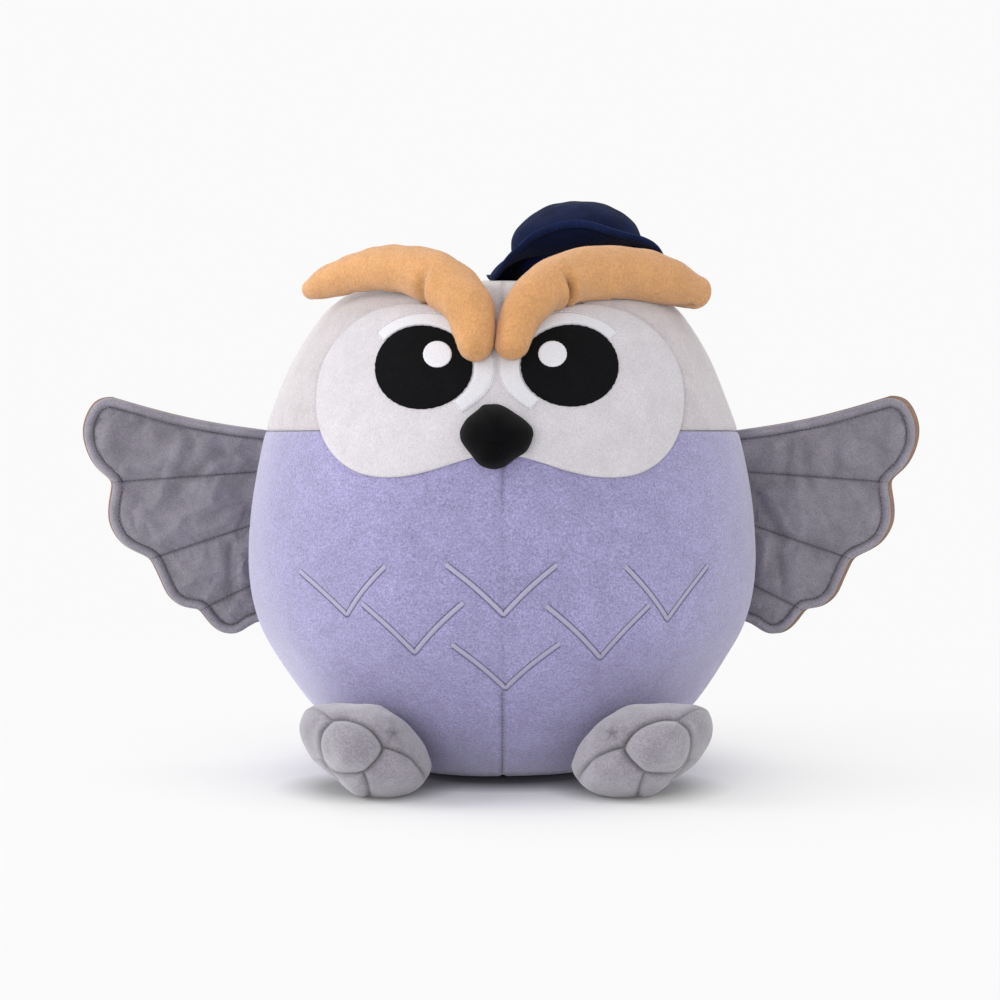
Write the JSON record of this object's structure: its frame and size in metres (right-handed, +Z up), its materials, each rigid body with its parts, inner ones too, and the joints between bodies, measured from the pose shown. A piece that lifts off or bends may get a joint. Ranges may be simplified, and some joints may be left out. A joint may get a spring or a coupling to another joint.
{
  "type": "plush owl",
  "caption": "Round stuffed owl sitting on a flat base, with quilted wings and stuffed feet on sewn hinges, stuffed brows and beak, and a soft hat.",
  "frame": {"origin": "centre of the flat base, on the floor", "axes": "-Y the way the owl faces, +X its own left, +Z up"},
  "size_m": [0.4232, 0.239, 0.2838],
  "materials": {
    "body_stuffing": "loose polyester fibre",
    "belly_panel_left": "short pile velour",
    "back_panel_left": "short pile velour",
    "head_back_panel_left": "short pile velour",
    "head_front_panel_left": "short pile velour",
    "belly_panel_right": "short pile velour",
    "back_panel_right": "short pile velour",
    "head_back_panel_right": "short pile velour",
    "head_front_panel_right": "short pile velour",
    "base_panel": "short pile velour",
    "face_disc": "short pile velour",
    "eye_left": "matt felt",
    "eye_highlight_left": "satin stitched",
    "eye_arc_left": "satin stitched",
    "eye_right": "matt felt",
    "eye_highlight_right": "satin stitched",
    "eye_arc_right": "satin stitched",
    "beak_cover": "matt woven fabric",
    "beak_stuffing": "loose polyester fibre",
    "brow_cover_left": "long pile plush",
    "brow_stuffing_left": "loose polyester fibre",
    "brow_cover_right": "long pile plush",
    "brow_stuffing_right": "loose polyester fibre",
    "wing_front_left": "quilted velour",
    "wing_back_left": "plain velour",
    "wing_wadding_left": "sheet wadding",
    "wing_front_right": "quilted velour",
    "wing_back_right": "plain velour",
    "wing_wadding_right": "sheet wadding",
    "foot_sole_left": "short pile velour",
    "foot_upper_left": "short pile velour",
    "foot_stuffing_left": "loose polyester fibre",
    "foot_sole_right": "short pile velour",
    "foot_upper_right": "short pile velour",
    "foot_stuffing_right": "loose polyester fibre",
    "hat_crown": "soft brushed fabric",
    "hat_brim": "soft brushed fabric",
    "hat_stuffing": "loose polyester fibre",
    "chest_chevron_1": "satin stitched",
    "chest_chevron_2": "satin stitched",
    "chest_chevron_3": "satin stitched",
    "chest_chevron_4": "satin stitched",
    "chest_chevron_5": "satin stitched",
    "chest_chevron_6": "satin stitched"
  },
  "bodies": {
    "body": {"body_stuffing": "body_stuffing", "belly_panel_left": "belly_panel_left", "back_panel_left": "back_panel_left", "head_back_panel_left": "head_back_panel_left", "head_front_panel_left": "head_front_panel_left", "belly_panel_right": "belly_panel_right", "back_panel_right": "back_panel_right", "head_back_panel_right": "head_back_panel_right", "head_front_panel_right": "head_front_panel_right", "base_panel": "base_panel", "face_disc": "face_disc", "eye_left": "eye_left", "eye_highlight_left": "eye_highlight_left", "eye_arc_left": "eye_arc_left", "eye_right": "eye_right", "eye_highlight_right": "eye_highlight_right", "eye_arc_right": "eye_arc_right", "beak_cover": "beak_cover", "beak_stuffing": "beak_stuffing", "brow_cover_left": "brow_cover_left", "brow_stuffing_left": "brow_stuffing_left", "brow_cover_right": "brow_cover_right", "brow_stuffing_right": "brow_stuffing_right", "hat_crown": "hat_crown", "hat_brim": "hat_brim", "hat_stuffing": "hat_stuffing", "chest_chevron_1": "chest_chevron_1", "chest_chevron_2": "chest_chevron_2", "chest_chevron_3": "chest_chevron_3", "chest_chevron_4": "chest_chevron_4", "chest_chevron_5": "chest_chevron_5", "chest_chevron_6": "chest_chevron_6"},
    "wing_left": {"wing_front_left": "wing_front_left", "wing_back_left": "wing_back_left", "wing_wadding_left": "wing_wadding_left"},
    "wing_right": {"wing_front_right": "wing_front_right", "wing_back_right": "wing_back_right", "wing_wadding_right": "wing_wadding_right"},
    "foot_left": {"foot_sole_left": "foot_sole_left", "foot_upper_left": "foot_upper_left", "foot_stuffing_left": "foot_stuffing_left"},
    "foot_right": {"foot_sole_right": "foot_sole_right", "foot_upper_right": "foot_upper_right", "foot_stuffing_right": "foot_stuffing_right"}
  },
  "joints": [
    {"name": "wing_left_swing", "type": "hinge", "parent": "body", "child": "wing_left", "pos_m": [0.12764, 0.014, 0.11745], "axis": [0, 0, -1], "range_deg": [-45, 60], "stiffness_Nm_per_rad": 0.02},
    {"name": "wing_right_swing", "type": "hinge", "parent": "body", "child": "wing_right", "pos_m": [-0.12764, 0.014, 0.11745], "axis": [0, 0, 1], "range_deg": [-45, 60], "stiffness_Nm_per_rad": 0.02},
    {"name": "foot_left_lift", "type": "hinge", "parent": "body", "child": "foot_left", "pos_m": [0.0655, -0.07592, 0.04171], "axis": [-1, 0, 0], "range_deg": [0, 18], "stiffness_Nm_per_rad": 0.05},
    {"name": "foot_right_lift", "type": "hinge", "parent": "body", "child": "foot_right", "pos_m": [-0.0655, -0.07592, 0.04171], "axis": [-1, 0, 0], "range_deg": [0, 18], "stiffness_Nm_per_rad": 0.05}
  ]
}
